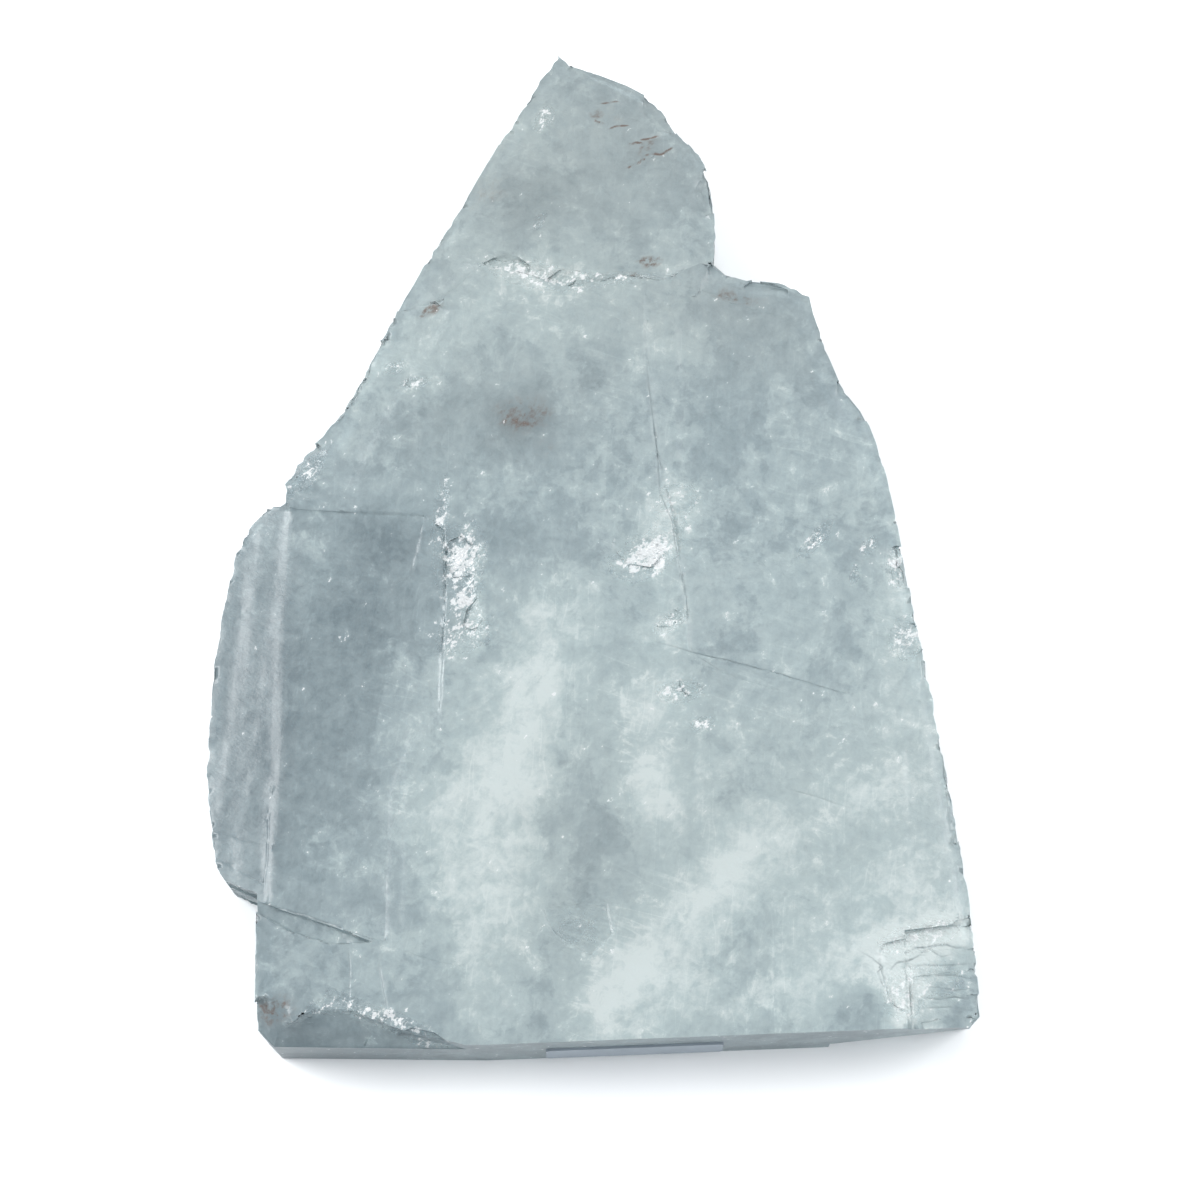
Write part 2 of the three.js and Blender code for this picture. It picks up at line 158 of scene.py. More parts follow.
# Crushed, splintery places, where the surface breaks into small tilted faces and glitters; the material paints them
# near white, partly the white of crushed gypsum and partly painted glints
CRUSHED_AND_GLINTS = (
    Patch(33, 45.7, 6.4, 3.6, 75, 1.3), Patch(33.5, 41.8, 3, 2, 80, 1.0), Patch(33.4, 38.2, 5, 4, 30, 0.9),
    Patch(30.4, 50.8, 6, 1.2, 86, 0.9), Patch(58.6, 46.2, 6, 2.8, 45, 1.2), Patch(56.5, 45.6, 7, 4, 20, 0.6),
    Patch(61, 39.7, 3.2, 1.6, 35, 1.1), Patch(62.2, 32.8, 4, 2, 5, 0.9), Patch(64.7, 29.7, 2, 1.2, 20, 1.0),
    Patch(80, 47.7, 4.6, 1.2, 50, 1.2), Patch(91.1, 44.9, 3.6, 1.7, 85, 1.1), Patch(85.7, 44.3, 2.2, 0.9, 85, 0.8),
    Patch(92, 38.2, 4, 3, 70, 1.0), Patch(87.6, 47, 2, 1.2, 60, 0.8), Patch(62, 51.5, 6, 5, 40, 0.5),
    Patch(41.5, 75.4, 9, 3, -14, 1.0), Patch(52, 74.6, 9, 2, 6, 0.8), Patch(43.2, 81.3, 2.4, 1.2, 60, 0.6),
    Patch(43.5, 92.6, 3, 1.6, 60, 0.8), Patch(23.6, 65.2, 2.2, 1.2, 20, 1.0), Patch(26.4, 63.6, 3, 1.2, 10, 0.7),
    Patch(92.8, 9.9, 7, 2, 12, 0.8), Patch(89.7, 4.2, 3.2, 4, 0, 0.7), Patch(95, 6, 8, 5, 0, 0.4),
    Patch(25.4, 2.0, 11, 1.3, -24, 1.0), Patch(16.5, 3.4, 5, 1.6, 10, 0.55), Patch(12, 54.5, 6, 2.4, 50, 0.6),
    Patch(48.5, 10.5, 8, 5, 20, 0.35),
)

# Cracks, ledge lines with a painted highlight where they catch the light, and the brown seams near the tip
SCORES = (
    Score(((57.7, 70), (58.1, 63.6), (59.3, 56.5), (59.6, 52.2), (61.3, 49.3), (61.6, 47), (63, 41.7), (63.4, 36.6)),
          crack=0.7),
    Score(((58.4, 37.6), (63.7, 36.5), (68.6, 35.7), (74.2, 34.6), (78.8, 33.6), (83.6, 32.5)), 0.34, 0.16, 0.8),
    Score(((64.1, 36.2), (66.7, 35), (69.3, 33.8)), crack=0.5),
    Score(((63.2, 35.6), (68, 34.3), (72, 33.4), (76.2, 32.6)), crack=0.0, painted_gleam=0.5),
    Score(((75.5, 23.5), (79.9, 22.6), (84.4, 21.5)), crack=0.5),
    Score(((30.4, 54.5), (30.8, 48.5), (31.1, 41.6), (30.9, 35.8), (30.6, 30.5)), crack=0.1, painted_gleam=0.75),
    Score(((27.9, 49.3), (26.9, 46.3), (26.3, 43.7)), crack=0.0, painted_gleam=0.7),
    Score(((22.2, 45.9), (26.2, 45.3)), crack=0.0, painted_gleam=0.6),
    Score(((9.4, 50.7), (14, 50.4), (18.3, 50.3), (23.5, 50.2), (28.3, 50.1)), 0.3, 0.03, 0.0, 0.4),
    Score(((8.6, 22.1), (8.6, 18.5), (8.3, 14)), crack=0.1, painted_gleam=0.6),
    Score(((1, 19.9), (4.4, 19.1), (8.6, 18.1)), crack=0.4, painted_gleam=0.3),
    Score(((2, 17.2), (5, 16), (8.4, 14.6)), crack=0.3, painted_gleam=0.4),
    Score(((8.6, 13), (10.3, 12.4), (14.1, 11.7), (18.6, 10.5), (21.7, 9.8), (22.5, 9.3)), crack=0.0, painted_gleam=0.9),
    Score(((10.1, 11.7), (12.1, 10.3), (14.2, 9.6), (17.1, 9.1), (19.2, 9.1)), crack=0.25, painted_gleam=0.3),
    Score(((19.4, 9), (19.8, 5.9), (19.7, 2.8)), crack=0.35),
    Score(((23.2, 8), (24, 5), (24.9, 2.4)), crack=0.35),
    Score(((26.1, 8.5), (29.7, 7.7), (34.2, 6.8)), crack=0.2, painted_gleam=0.5),
    Score(((88.2, 8.7), (91.6, 9.9), (95, 10.4), (99, 10.5)), 2.6, 0.0, 0.0, 0.62),
    Score(((90.4, 8.2), (92, 8.9), (93.2, 8.8), (95.9, 9.1), (97.2, 8.8), (99, 8.8)), 0.4, 0.16, 0.9),
    Score(((88.3, 6.6), (89.4, 7.4), (90.9, 7.6), (92.5, 8.2), (93.4, 8.1)), 0.36, 0.16, 0.9),
    Score(((91.6, 9.0), (92.8, 8.4), (93.6, 8.7), (95.2, 8.0), (96.3, 8.2)), 0.3, 0.1, 0.8),
    Score(((90.8, 7.1), (93.1, 7.3), (95.3, 7.2), (99, 7.4)), 0.36, 0.1, 0.85),
    Score(((91.5, 6.2), (94.2, 6.2), (96.5, 6.4), (99, 6)), 0.34, 0.1, 0.7),
    Score(((93, 5.3), (95, 5.2), (96.8, 5.0), (99, 5.2)), 0.3, 0.1, 0.6),
    Score(((92.4, 4.4), (94.8, 4.2), (96.6, 4.4), (99, 4.2)), 0.34, 0.1, 0.7),
    Score(((92, 3.4), (96, 3.5), (98.5, 3.1)), 0.3, 0.1, 0.6),
    Score(((87.4, 8.7), (90.5, 10), (93.4, 10.6), (97, 11.6)), 0.36, 0.1, 0.3, 0.5),
    Score(((84.3, 8.6), (86.3, 7.8), (87.6, 7), (86.8, 6.5), (87.5, 5.3), (88.5, 5.1)), crack=0.7),
    Score(((44.1, 12.5), (45.8, 10.1), (50.3, 8.1), (53.1, 10.1), (52.3, 12.8), (49, 12.8)), crack=0.0, painted_gleam=0.6),
    Score(((36.1, 76.5), (44.6, 74.2), (48, 73.4)), crack=0.1, painted_gleam=0.9),
    Score(((48.8, 75.8), (54.6, 74.8), (58.4, 74.5)), crack=0.1, painted_gleam=0.7),
    Score(((65.3, 72.9), (72, 71.3), (78.9, 69.8)), crack=0.2, painted_gleam=0.3),
    Score(((62, 73.6), (68, 72.6), (76, 71.2)), crack=0.1, painted_gleam=0.4),
    Score(((55.3, 89.7), (56.6, 90.0), (57.5, 89.9)), 0.45, 0.03, 0.0, 0.0, 1.5),
    Score(((57.2, 90.3), (58.5, 90.4), (59.8, 90.7)), 0.42, 0.03, 0.0, 0.0, 1.4),
    Score(((54.7, 87.0), (56.1, 87.3), (57.4, 87.9), (58.3, 88.3)), 0.5, 0.03, 0.0, 0.0, 1.6),
    Score(((57.6, 88.3), (58.8, 88.7), (60.1, 88.6), (61.1, 89.1), (62, 89.4)), 0.5, 0.03, 0.0, 0.0, 1.5),
    Score(((52.6, 91.4), (53.7, 91.8), (55.6, 91.9)), 0.4, 0.03, 0.0, 0.0, 1.3),
    Score(((50.9, 92.4), (52.2, 92.1)), 0.4, 0.03, 0.0, 0.0, 1.2),
    Score(((50.8, 94.2), (52.3, 94.4), (54.4, 94.6)), 0.4, 0.03, 0.0, 0.0, 1.0),
)


STONE_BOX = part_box(STONE_NODE)


def place(u: float, v: float) -> Vector:
    """Turns percent of the slab's width and length into metres on the plan."""
    low, high = STONE_BOX
    return Vector((low.x + (high.x - low.x) * u / 100, low.y + (high.y - low.y) * v / 100, 0.0))


class Value:
    """A number socket that takes part in Python arithmetic."""

    def __init__(self, shade: "Shade", socket: bpy.types.NodeSocket) -> None:
        """Keeps the socket and the material it belongs to."""
        self.shade = shade
        self.socket = socket

    def _math(self, operation: str, other: "Value | float", swap: bool = False) -> "Value":
        """Adds a Math node.

        Args:
            operation: The Math node's operation.
            other: The second number or socket.
            swap: Whether the second comes first.

        Returns:
            The node's result.
        """
        pair = (other, self) if swap else (self, other)
        return self.shade.value("ShaderNodeMath", {"operation": operation}, {0: pair[0], 1: pair[1]})

    def __add__(self, other: "Value | float") -> "Value":
        """Adds."""
        return self._math("ADD", other)

    __radd__ = __add__

    def __sub__(self, other: "Value | float") -> "Value":
        """Subtracts."""
        return self._math("SUBTRACT", other)

    def __rsub__(self, other: "Value | float") -> "Value":
        """Subtracts from a number."""
        return self._math("SUBTRACT", other, swap=True)

    def __mul__(self, other: "Value | float") -> "Value":
        """Multiplies."""
        return self._math("MULTIPLY", other)

    __rmul__ = __mul__

    def __pow__(self, other: "Value | float") -> "Value":
        """Raises to a power."""
        return self._math("POWER", other)

    def __abs__(self) -> "Value":
        """Drops the sign."""
        return self._math("ABSOLUTE", 0.0)

    def most(self, other: "Value | float") -> "Value":
        """Takes the greater."""
        return self._math("MAXIMUM", other)

    def rounded(self) -> "Value":
        """Rounds to a whole number."""
        return self._math("ROUND", 0.0)

    def between(self, low: float, high: float) -> "Value":
        """Rises smoothly from 0 at low to 1 at high."""
        settings = {"interpolation_type": "SMOOTHSTEP", "clamp": True}
        return self.shade.value("ShaderNodeMapRange", settings, {"Value": self, "From Min": low, "From Max": high})


class Shade:
    """One procedural material and the nodes in it."""

    def __init__(self, name: str) -> None:
        """Makes an empty material with an output."""
        self.material = bpy.data.materials.new(name)
        self.material.use_nodes = True
        self.tree = self.material.node_tree
        self.tree.nodes.clear()
        self.output = self.tree.nodes.new("ShaderNodeOutputMaterial")

    def node(self, kind: str, settings: dict[str, Any], inputs: dict[Any, Any]) -> bpy.types.Node:
        """Adds a node.

        Args:
            kind: The node's type.
            settings: Its properties; "stops" sets a ramp's positions and colours.
            inputs: Socket names or numbers, with a value, a socket or a Value for each.

        Returns:
            The node.
        """
        made = self.tree.nodes.new(kind)
        for name, setting in settings.items():
            if name == "stops":
                self._set_stops(made, setting)
            else:
                setattr(made, name, setting)
        for name, given in inputs.items():
            source = given.socket if isinstance(given, Value) else given
            if isinstance(source, bpy.types.NodeSocket):
                self.tree.links.new(source, made.inputs[name])
            else:
                made.inputs[name].default_value = source
        return made

    @staticmethod
    def _set_stops(ramp: bpy.types.Node, stops: Sequence[tuple[float, tuple[float, ...]]]) -> None:
        """Gives a colour ramp its stops."""
        elements = ramp.color_ramp.elements
        while len(elements) < len(stops):
            elements.new(0.5)
        for element, (position, colour) in zip(elements, stops):
            element.position = position
            element.color = (*colour, 1.0)

    def value(self, kind: str, settings: dict[str, Any], inputs: dict[Any, Any], output: Any = 0) -> Value:
        """Adds a node and gives one of its number outputs."""
        return Value(self, self.node(kind, settings, inputs).outputs[output])

    def mark(self, mark: Mark) -> Value:
        """Reads a measure that the surface carries."""
        return self.value("ShaderNodeAttribute", {"attribute_name": mark.value}, {}, "Fac")

    def here(self, stretch: tuple[float, float, float] = (1, 1, 1), turn: float = 0.0) -> bpy.types.NodeSocket:
        """Gives the place on the object, for a pattern stretched along its own axes and then turned.

        Args:
            stretch: How much longer the pattern is along each of its axes.
            turn: The turn about the vertical, in degrees.

        Returns:
            The coordinates.
        """
        inputs = {"Vector": self.node("ShaderNodeTexCoord", {}, {}).outputs["Object"], "Scale": stretch,
                  "Rotation": (0.0, 0.0, math.radians(turn))}
        return self.node("ShaderNodeMapping", {"vector_type": "TEXTURE"}, inputs).outputs[0]

    def cloud(self, size_mm: float, where: bpy.types.NodeSocket, detail: float = 3.0, rough: float = 0.55,
              warp: float = 0.0) -> Value:
        """Fractal noise about 0, from -1 to 1.

        Args:
            size_mm: The size of its lumps in millimetres.
            where: The coordinates it reads.
            detail: How many finer layers it has.
            rough: How strong the finer layers are.
            warp: How far it is distorted.

        Returns:
            The noise.
        """
        inputs = {"Vector": where, "Scale": 1 / (size_mm * MM), "Detail": detail, "Roughness": rough,
                  "Distortion": warp}
        return (self.value("ShaderNodeTexNoise", {}, inputs, "Fac") - 0.5) * 2.0

    def ramp(self, value: Value, stops: Sequence[tuple[float, tuple[float, ...]]]) -> bpy.types.NodeSocket:
        """Turns a number from 0 to 1 into a colour."""
        return self.node("ShaderNodeValToRGB", {"stops": stops}, {"Fac": value}).outputs["Color"]

    def mix(self, share: Value, first: Any, second: Any) -> bpy.types.NodeSocket:
        """Mixes two colours by a share of the second."""
        settings = {"data_type": "RGBA", "clamp_factor": True}
        return self.node("ShaderNodeMix", settings, {0: share, 6: first, 7: second}).outputs[2]

    def bump(self, height: Value, depth_mm: float, strength: float) -> bpy.types.NodeSocket:
        """Turns a height into a bent normal."""
        inputs = {"Height": height, "Distance": depth_mm * MM, "Strength": strength}
        return self.node("ShaderNodeBump", {}, inputs).outputs["Normal"]

    def finish(self, inputs: dict[str, Any]) -> bpy.types.Node:
        """Adds the surface shader and sends it to the output."""
        surface = self.node("ShaderNodeBsdfPrincipled", {}, inputs)
        self.tree.links.new(surface.outputs[0], self.output.inputs["Surface"])
        return surface


@dataclass(frozen=True)
class CrystalFinish:
    """Clear gypsum, clouded by veils, with pearly cleavage faces, frosted, glittering breaks whose white is partly
    painted glint, painted highlight lines, and painted shade on its walls.
    """

    dark: tuple[float, float, float] = (0.185, 0.238, 0.262)
    middle: tuple[float, float, float] = (0.345, 0.418, 0.438)
    light: tuple[float, float, float] = (0.50, 0.585, 0.586)
    white: tuple[float, float, float] = (0.74, 0.80, 0.785)
    # Near white of crushed gypsum, also used for painted glints and painted highlight lines
    frosted: tuple[float, float, float] = (0.97, 0.98, 0.98)
    stain: tuple[float, float, float] = (0.15, 0.088, 0.062)
    warm: tuple[float, float, float] = (0.425, 0.45, 0.42)
    see_through: float = 0.5
    refraction: float = 1.52
    absorbed: tuple[float, float, float] = (0.66, 0.82, 0.90)
    absorption: float = 18.0
    cleavage_turn: float = 16.0

    def make(self) -> bpy.types.Material:
        """Builds the material.

        Returns:
            The material, which reads the stone's own marks.
        """
        shade = Shade("clouded selenite")
        veils = shade.cloud(26, shade.here((1, 1.3, 1)), 7, 0.6, 0.8)
        mottle = shade.cloud(4.2, shade.here(), 5, 0.74, 0.3)
        crush = shade.mark(Mark.CRUSH)
        wall = shade.mark(Mark.WALL)
        flecks = shade.cloud(1.3, shade.here((1.6, 1, 1), 50), 3, 0.7)
        # The walls are darkened here as painted shade; _mark lifts the broken sides behind the sawn front back by
        # broken_side_tone, so the shade stays mostly on the sawn front face.
        tone = self._tone(shade, veils, mottle) + flecks * 0.35 - wall * 0.85
        stops = ((0.0, self.dark), (0.42, self.middle), (0.75, self.light), (1.0, self.white))
        colour = shade.ramp((tone + 1.2) * 0.417, stops)
        colour = shade.mix(shade.mark(Mark.WARMTH) * (0.34 + mottle * 0.25), colour, (*self.warm, 1))
        stained = shade.mark(Mark.STAIN) * (0.72 + mottle * 2.4 + flecks * 2.0)
        colour = shade.mix(stained.between(0.05, 1.0) * 0.85, colour, (*self.stain, 1))
        # Crushed places are painted near white: partly the white of crushed gypsum, partly painted glints.
        crush_white_and_glint = (crush * 0.95 + mottle * 1.3 + flecks * 1.8 - 0.7).between(0.0, 0.45)
        # Ledge lines are painted near white along their length as painted highlights.
        painted_gleam = shade.mark(Mark.PAINTED_GLEAM) * (0.75 + mottle * 1.2)
        colour = shade.mix((crush_white_and_glint + painted_gleam.between(0.1, 1.2)).between(0.0, 1.0), colour, (*self.frosted, 1))
        crack = shade.mark(Mark.CRACK) * (0.7 + mottle)
        colour = shade.mix(crack.between(0.0, 0.8) * 0.8, colour, (*[c * 0.6 for c in self.dark], 1))
        shade.finish({
            "Base Color": colour,
            "Roughness": (0.34 - crush * 0.2 + mottle * 0.06 + wall * 0.04).most(0.08),
            "IOR": self.refraction,
            "Transmission Weight": self.see_through,
            "Normal": self._relief(shade, crush, wall),
        })
        absorption = shade.node("ShaderNodeVolumeAbsorption", {}, {
            "Color": (*self.absorbed, 1), "Density": self.absorption,
        })
        shade.tree.links.new(absorption.outputs[0], shade.output.inputs["Volume"])
        return shade.material

    def _tone(self, shade: Shade, veils: Value, mottle: Value) -> Value:
        """How light the stone is from place to place, with the painted glint light and painted shade of the tone
        mark included.

        Args:
            shade: The material.
            veils: Slow noise, which gives the veils their crisp edges.
            mottle: Fine noise, which gives the grain.

        Returns:
            The tone, about 0 in the middle.
        """
        # The tone mark carries the veils and clear places together with painted glint light and painted shade.
        tone_marks = shade.mark(Mark.TONE)
        edged = (veils * 1.3 + tone_marks * 0.5 + mottle * 0.4).between(-0.06, 0.1)
        patches = (shade.cloud(9, shade.here((1.3, 1, 1), 35), 4, 0.66, 0.5) + tone_marks * 0.12).between(-0.05, 0.08)
        fibres = shade.cloud(1.3, shade.here((1, 16, 2), -2), 2, 0.6) * (0.14 - veils * 0.2)
        striae = shade.cloud(1.5, shade.here((12, 1, 2), -self.cleavage_turn), 2, 0.6) * (0.12 + veils * 0.3)
        threads = 1.0 - abs(shade.cloud(8, shade.here((7, 1, 1), -self.cleavage_turn - 4), 2)).between(0.0, 0.03)
        threads = threads * veils.between(0.0, 0.3) * 0.3
        crumbs = (mottle + veils * 0.5).between(0.2, 0.42) * 0.3
        hairs = 1.0 - abs(shade.cloud(6, shade.here((1, 9, 1), -6), 2)).between(0.0, 0.022)
        hairs = hairs * (patches - veils * 0.5).between(0.3, 0.9) * 0.22
        return (tone_marks * 0.74 + edged * 0.32 + patches * 0.2 - 0.26 + mottle * 1.0 + fibres + striae + threads
                + hairs + crumbs)

    def _relief(self, shade: Shade, crush: Value, wall: Value) -> bpy.types.NodeSocket:
        """Cleavage steps, fine striation, the splinters of crushed places and the leaves of broken sides."""
        steps = (shade.cloud(15, shade.here((1, 2, 1), -8), 3, 0.62, 0.4) * 8.0).rounded() * 0.12
        grain = shade.cloud(1.8, shade.here((1.7, 1, 1), -self.cleavage_turn), 3, 0.7)
        leaves = shade.cloud(0.9, shade.here((25, 25, 1)), 2, 0.6) * wall
        return shade.bump(steps + grain * (0.2 + crush * 1.6) + leaves * 1.2, 0.5, 0.6)


@dataclass(frozen=True)
class PaperFinish:
    """Plain label paper, matt and a little rubbed, with both its colours darkened as painted shade for the shaded
    cut edge that it sits on.
    """

    # Both colours lie far below white paper: painted shade on the label.
    colour: tuple[float, float, float] = (0.25, 0.293, 0.333)
    rubbed: tuple[float, float, float] = (0.185, 0.218, 0.252)

    def make(self) -> bpy.types.Material:
        """Builds the material."""
        shade = Shade("label paper")
        fibres = shade.cloud(0.7, shade.here((1, 1, 2)), 5, 0.7)
        rubbing = shade.cloud(6, shade.here(), 4, 0.6)
        colour = shade.mix((fibres * 0.5 + rubbing).between(-0.2, 0.9) * 0.7, (*self.colour, 1), (*self.rubbed, 1))
        shade.finish({
            "Base Color": colour,
            "Roughness": 0.62 + rubbing * 0.08,
            "Normal": shade.bump(fibres + rubbing * 0.5, 0.05, 0.5),
        })
        return shade.material


@dataclass(frozen=True)
class FloorFinish:
    """A plain pale floor."""

    colour: tuple[float, float, float] = (0.93, 0.935, 0.94)

    def make(self) -> bpy.types.Material:
        """Builds the material."""
        shade = Shade("floor")
        grain = shade.cloud(60, shade.here(), 2)
        shade.finish({"Base Color": (*self.colour, 1), "Roughness": 0.75 + grain * 0.03})
        return shade.material


@dataclass
class Slab:
    """The crystal: a finely divided copy of the frame's solid, with its relief, cracks and marks.

    block is the spacing of the first cuts and cell that of the fine mesh, leaf is the thickness of the
    sheets in its broken sides, and the other lengths are how far a part of the relief moves the surface.
    All are in millimetres.
    """

    block: float = 12.0
    cell: float = 1.3
    underside_cell: float = 2.6
    leaf: float = 0.95
    worn_step: float = 0.5
    rim: float = 1.7
    rim_drop: float = 2.6
    worn: int = 60
    worn_crushed: int = 14
    worn_after: int = 24
    swell: float = 0.2
    shard: float = 2.4
    shard_tilt: float = 0.42
    wall_step: float = 0.75
    merged: float = 0.02
    score_reach: float = 0.5
    crooked: float = 0.22
    cut_edge_depth: float = 4.0
    broken_side_tone: float = 0.8
    seed: int = 4

    def build(self) -> bpy.types.Object:
        """Makes the stone's piece in place of the frame's node.

        Returns:
            The finished object.
        """
        noise.seed_set(self.seed)
        bm = bmesh.new()
        bm.from_mesh(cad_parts[STONE_NODE].data)
        bmesh.ops.remove_doubles(bm, verts=bm.verts, dist=0.002 * MM)
        solid = BVHTree.FromBMesh(bm)
        bmesh.ops.dissolve_limit(bm, angle_limit=math.radians(0.3), verts=bm.verts, edges=bm.edges)
        self._divide(bm, self.block, self.block, self.block)
        for score in SCORES:
            self._cut_score(bm, score)
        self._divide(bm, self.cell, self.underside_cell, self.leaf)
        inner = [vertex for vertex in bm.verts if self._is_inner(solid, vertex.co)]
        self._wear(bm, inner)
        self._refine_crushed(bm)
        bmesh.ops.remove_doubles(bm, verts=bm.verts, dist=self.merged * MM)
        bmesh.ops.delete(bm, geom=[vertex for vertex in bm.verts if not vertex.link_faces], context="VERTS")
        bmesh.ops.triangulate(bm, faces=bm.faces)
        self._drop_flaps(bm)
        bm.normal_update()
        layers = {mark: bm.verts.layers.float.new(mark.value) for mark in Mark}
        sides = [self._side(vertex) for vertex in bm.verts]
        self._mark(bm, layers, sides)
        worn = {vertex for vertex in inner if vertex.is_valid}
        outer = [vertex not in worn and not self._is_inner(solid, vertex.co) for vertex in bm.verts]
        self._relief(bm, layers, sides, outer)
        self._shade_smoothly(bm)
        mesh = bpy.data.meshes.new("selenite")
        bm.to_mesh(mesh)
        bm.free()
        stone = bpy.data.objects.new("selenite", mesh)
        bpy.context.scene.collection.objects.link(stone)
        mesh.materials.append(CrystalFinish().make())
        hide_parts(STONE_NODE)
        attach(stone, BODY)
        return stone

    def _divide(self, bm: bmesh.types.BMesh, cell: float, underside_cell: float, leaf: float) -> None:
        """Slices the surface into cells.

        Args:
            bm: The mesh.
            cell: The spacing of the cuts along and across, in millimetres.
            underside_cell: The same on the flat underside.
            leaf: The spacing of the level cuts.
        """
        for axis, fine, coarse in ((0, cell, underside_cell), (1, cell, underside_cell), (2, leaf, leaf)):
            bm.normal_update()
            under = [face for face in bm.faces if face.normal.z < -0.98]
            rest = [face for face in bm.faces if face.normal.z >= -0.98]
            self._slice(bm, rest, axis, self._planes(axis, fine))
            self._slice(bm, [face for face in under if face.is_valid], axis, self._planes(axis, coarse))

    @staticmethod
    def _planes(axis: int, step: float) -> list[float]:
        """Gives evenly spaced heights along an axis, in metres, for a spacing in millimetres."""
        low, high = STONE_BOX
        count = int((high[axis] - low[axis]) / (step * MM))
        return [low[axis] + (i - 0.37) * step * MM for i in range(1, count + 1)]

    def _slice(self, bm: bmesh.types.BMesh, faces: list[bmesh.types.BMFace], axis: int,
               planes: list[float]) -> None:
        """Cuts faces at the middle plane of a list, then each half of them at its own planes.

        Args:
            bm: The mesh.
            faces: The faces that the planes may cross.
            axis: The axis that the planes stand across.
            planes: Their heights along it, in order.
        """
        if not faces or not planes:
            return
        middle = len(planes) // 2
        normal = Vector([float(i == axis) for i in range(3)])
        cut = bmesh.ops.bisect_plane(bm, geom=self._with_parts(faces), dist=0.004 * MM,
                                     plane_co=normal * planes[middle], plane_no=normal)
        below: list[bmesh.types.BMFace] = []
        above: list[bmesh.types.BMFace] = []
        for face in cut["geom"]:
            if isinstance(face, bmesh.types.BMFace):
                (below if face.calc_center_median()[axis] < planes[middle] else above).append(face)
        self._slice(bm, below, axis, planes[:middle])
        self._slice(bm, above, axis, planes[middle + 1:])

    @staticmethod
    def _with_parts(faces: list[bmesh.types.BMFace]) -> list[Any]:
        """Gives faces with their edges and vertices, for an operator."""
        edges = {edge for face in faces for edge in face.edges}
        vertices = {vertex for face in faces for vertex in face.verts}
        return [*vertices, *edges, *faces]

    def _is_inner(self, solid: BVHTree, at: Vector) -> bool:
        """Whether a place lies on the top, away from its rim and from deep breaks."""
        if at.z < 9 * MM:
            return False
        for i in range(8):
            turn = math.tau * i / 8
            start = Vector((at.x + math.cos(turn) * self.rim * MM, at.y + math.sin(turn) * self.rim * MM, 30 * MM))
            hit = solid.ray_cast(start, Vector((0, 0, -1)))[0]
            if hit is None or hit.z < at.z - self.rim_drop * MM:
                return False
        return True

    def _wear(self, bm: bmesh.types.BMesh, inner: list[bmesh.types.BMVert]) -> None:
        """Wears the steps on the top down to slopes, less where the stone is crushed."""
        crush = self._sum_patches(CRUSHED_AND_GLINTS, np.array([vertex.co for vertex in inner]))
        calm = [vertex for vertex, share in zip(inner, crush) if share < 0.35]
        for i in range(self.worn):
            chosen = inner if i < self.worn_crushed else calm
            bmesh.ops.smooth_vert(bm, verts=chosen, factor=0.5, use_axis_z=True)
        spread = [vertex for vertex in calm if any(self._is_worn_step(edge) for edge in vertex.link_edges)]
        for _ in range(self.worn_after):
            bmesh.ops.smooth_vert(bm, verts=spread, factor=0.5, use_axis_x=True, use_axis_y=True)
            bmesh.ops.smooth_vert(bm, verts=calm, factor=0.5, use_axis_z=True)

    def _is_worn_step(self, edge: bmesh.types.BMEdge) -> bool:
        """Whether an edge is what is left of a low step."""
        rise = edge.verts[0].co - edge.verts[1].co
        return rise.length < self.worn_step * MM and abs(rise.z) > 0.3 * math.hypot(rise.x, rise.y)

    @staticmethod
    def _drop_flaps(bm: bmesh.types.BMesh) -> None:
        """Deletes faces that lie back to back on the same three corners."""
        uses = Counter(frozenset(face.verts) for face in bm.faces)
        flaps = [face for face in bm.faces if uses[frozenset(face.verts)] > 1]
        bmesh.ops.delete(bm, geom=flaps, context="FACES")

    def _refine_crushed(self, bm: bmesh.types.BMesh) -> None:
        """Halves the cells of the crushed places, so that their small faces come out sharp."""
        faces = [face for face in bm.faces if face.normal.z > 0.4]
        crush = self._sum_patches(CRUSHED_AND_GLINTS, np.array([face.calc_center_median() for face in faces]))
        chosen = {edge for face, share in zip(faces, crush) if share > 0.35 for edge in face.edges}
        long = [edge for edge in chosen if edge.calc_length() > 0.5 * self.cell * MM]
        bmesh.ops.subdivide_edges(bm, edges=long, cuts=1, use_grid_fill=True)

    def _cut_score(self, bm: bmesh.types.BMesh, score: Score) -> None:
        """Cuts the middle and both sides of a crack, ledge line or seam into the top's mesh."""
        route = [place(*point) for point in score.points]
        for start, end in zip(route, route[1:]):
            across = Vector((start.y - end.y, end.x - start.x, 0)).normalized()
            close = [face for face in bm.faces if face.normal.z > 0.5 and self._near(face, start, end)]
            for offset in (-score.half_width, 0.0, score.half_width):
                cut = bmesh.ops.bisect_plane(bm, geom=self._with_parts(close), dist=0.004 * MM,
                                             plane_co=start + across * offset * MM, plane_no=across)
                close = [part for part in cut["geom"] if isinstance(part, bmesh.types.BMFace)]

    def _trace(self, score: Score, places: np.ndarray) -> np.ndarray:
        """Gives a score's share at many places, from 1 on its line to 0 at its sides and tapered to its ends."""
        route = [place(*point) for point in score.points]
        whole = sum((b - a).length for a, b in zip(route, route[1:]))
        share = np.zeros(len(places))
        before = 0.0
        for start, end in zip(route, route[1:]):
            length = (end - start).length
            forward = (end - start) / length
            dx = places[:, 0] - start.x
            dy = places[:, 1] - start.y
            at = np.clip(dx * forward.x + dy * forward.y, 0.0, length)
            away = np.hypot(dx - at * forward.x, dy - at * forward.y) / (score.half_width * MM)
            taper = np.sin(np.pi * np.clip((before + at) / whole, 0.0, 1.0)) ** 0.4
            share = np.maximum(share, np.clip(1.0 - away, 0.0, 1.0) * taper)
            before += length
        return share

